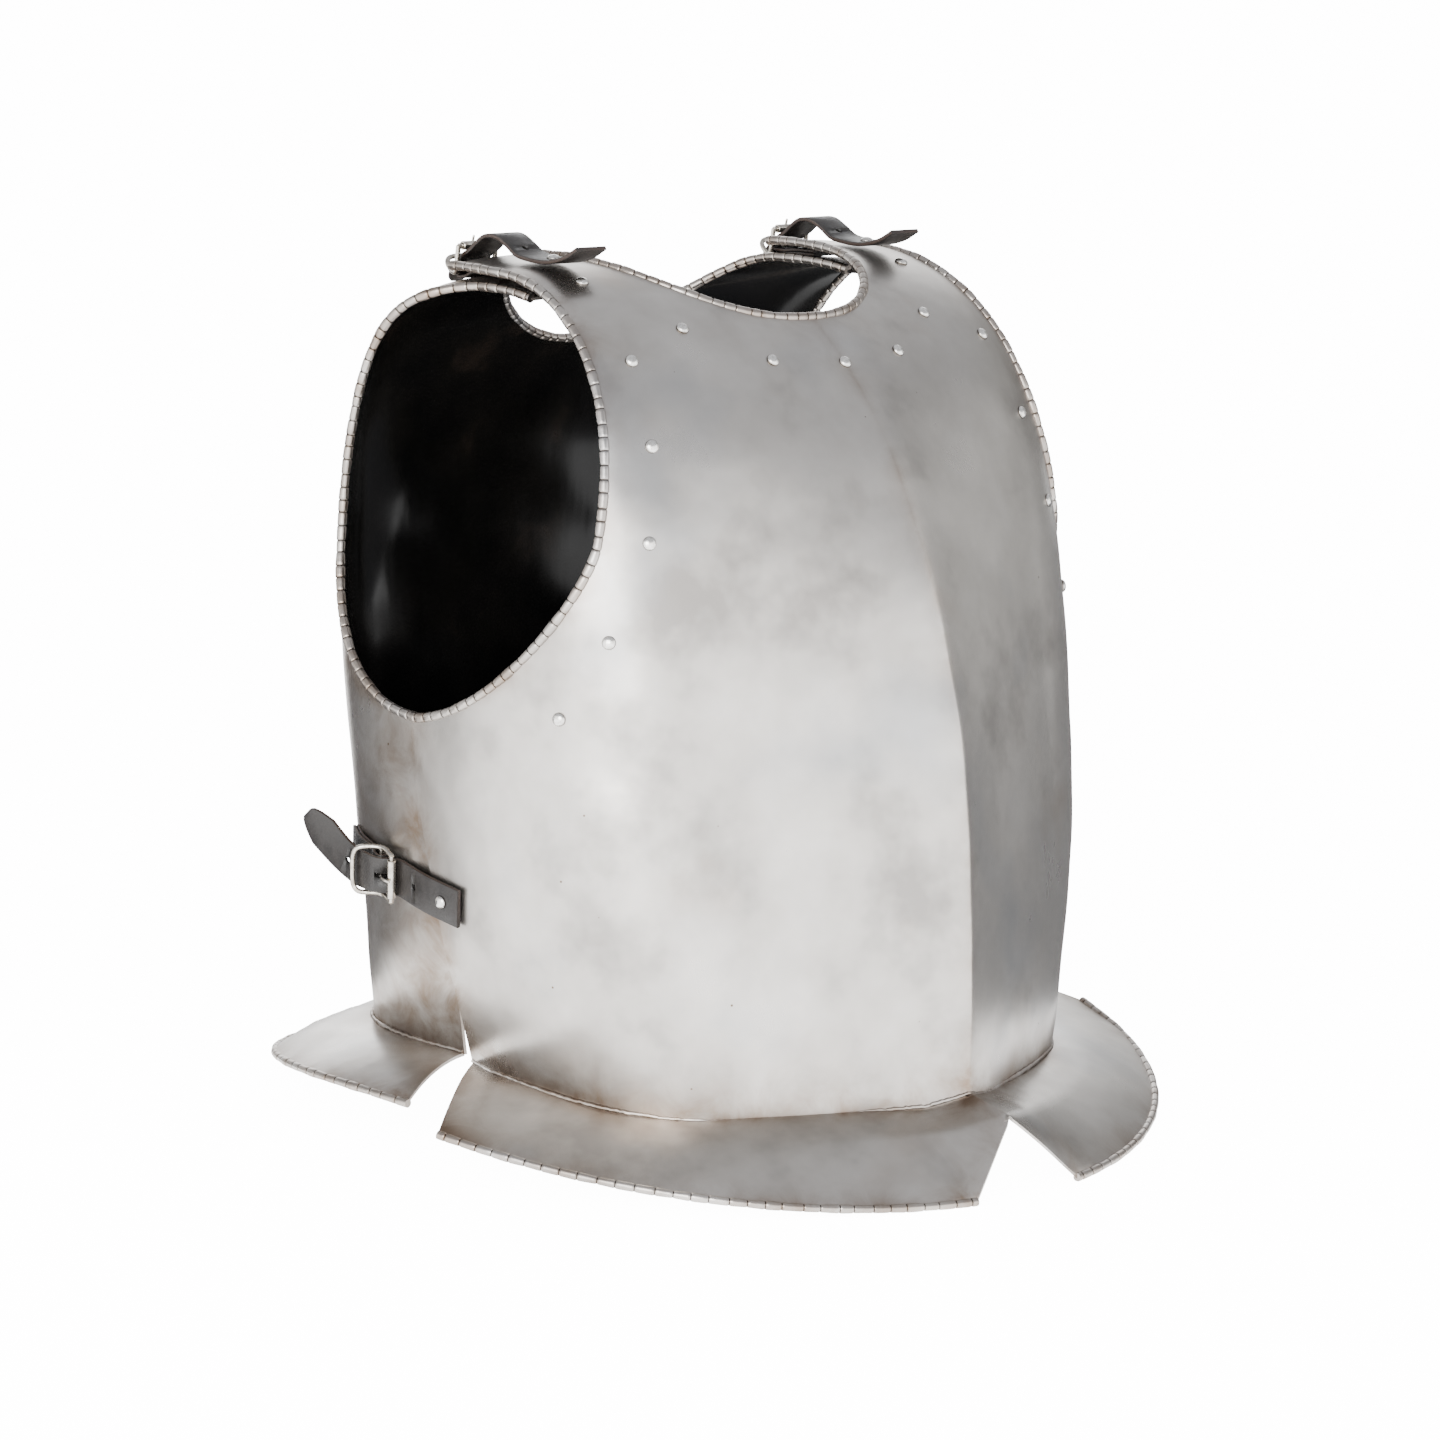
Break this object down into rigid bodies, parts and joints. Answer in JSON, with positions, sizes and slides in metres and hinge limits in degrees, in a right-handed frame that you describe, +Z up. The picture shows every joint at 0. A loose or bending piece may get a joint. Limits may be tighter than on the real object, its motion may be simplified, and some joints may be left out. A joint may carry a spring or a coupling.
{
  "type": "steel cuirass",
  "caption": "Steel cuirass of breastplate and backplate with a medial ridge, turned edges and flared waist flanges, buckled together by leather straps at shoulders and sides.",
  "frame": {"origin": "middle of the base of the bounding box, on the surface that the flange rims stand on", "axes": "+X to the wearer's left, -Y the way the wearer faces, +Z up from the surface it stands on; it stands tilted back by about 4.5 degrees from how it is worn"},
  "size_m": [0.4648, 0.4294, 0.4381],
  "materials": {
    "plate_steel": "satin polished steel outside, gloss black paint inside",
    "rivet_steel": "polished domed head",
    "buckle_nickel": "nickel plated, bright",
    "strap_leather": "black, slightly glossy grain"
  },
  "bodies": {
    "root": {"breastplate": "plate_steel", "backplate": "plate_steel", "lining_rivet_01": "rivet_steel", "lining_rivet_02": "rivet_steel", "lining_rivet_03": "rivet_steel", "lining_rivet_04": "rivet_steel", "lining_rivet_05": "rivet_steel", "lining_rivet_06": "rivet_steel", "lining_rivet_07": "rivet_steel", "lining_rivet_08": "rivet_steel", "lining_rivet_09": "rivet_steel", "lining_rivet_10": "rivet_steel", "lining_rivet_11": "rivet_steel", "lining_rivet_12": "rivet_steel", "lining_rivet_13": "rivet_steel", "lining_rivet_14": "rivet_steel", "lining_rivet_15": "rivet_steel", "lining_rivet_16": "rivet_steel", "lining_rivet_17": "rivet_steel", "shoulder_billet_right": "strap_leather", "shoulder_chape_right": "strap_leather", "shoulder_buckle_right": "buckle_nickel", "shoulder_roller_right": "buckle_nickel", "shoulder_prong_right": "buckle_nickel", "shoulder_billet_rivet_right": "rivet_steel", "shoulder_chape_rivet_right": "rivet_steel", "shoulder_billet_left": "strap_leather", "shoulder_chape_left": "strap_leather", "shoulder_buckle_left": "buckle_nickel", "shoulder_roller_left": "buckle_nickel", "shoulder_prong_left": "buckle_nickel", "shoulder_billet_rivet_left": "rivet_steel", "shoulder_chape_rivet_left": "rivet_steel", "side_billet_right": "strap_leather", "side_chape_right": "strap_leather", "side_buckle_right": "buckle_nickel", "side_roller_right": "buckle_nickel", "side_prong_right": "buckle_nickel", "side_billet_rivet_right": "rivet_steel", "side_chape_rivet_right": "rivet_steel", "side_billet_left": "strap_leather", "side_chape_left": "strap_leather", "side_buckle_left": "buckle_nickel", "side_roller_left": "buckle_nickel", "side_prong_left": "buckle_nickel", "side_billet_rivet_left": "rivet_steel", "side_chape_rivet_left": "rivet_steel"}
  },
  "joints": []
}
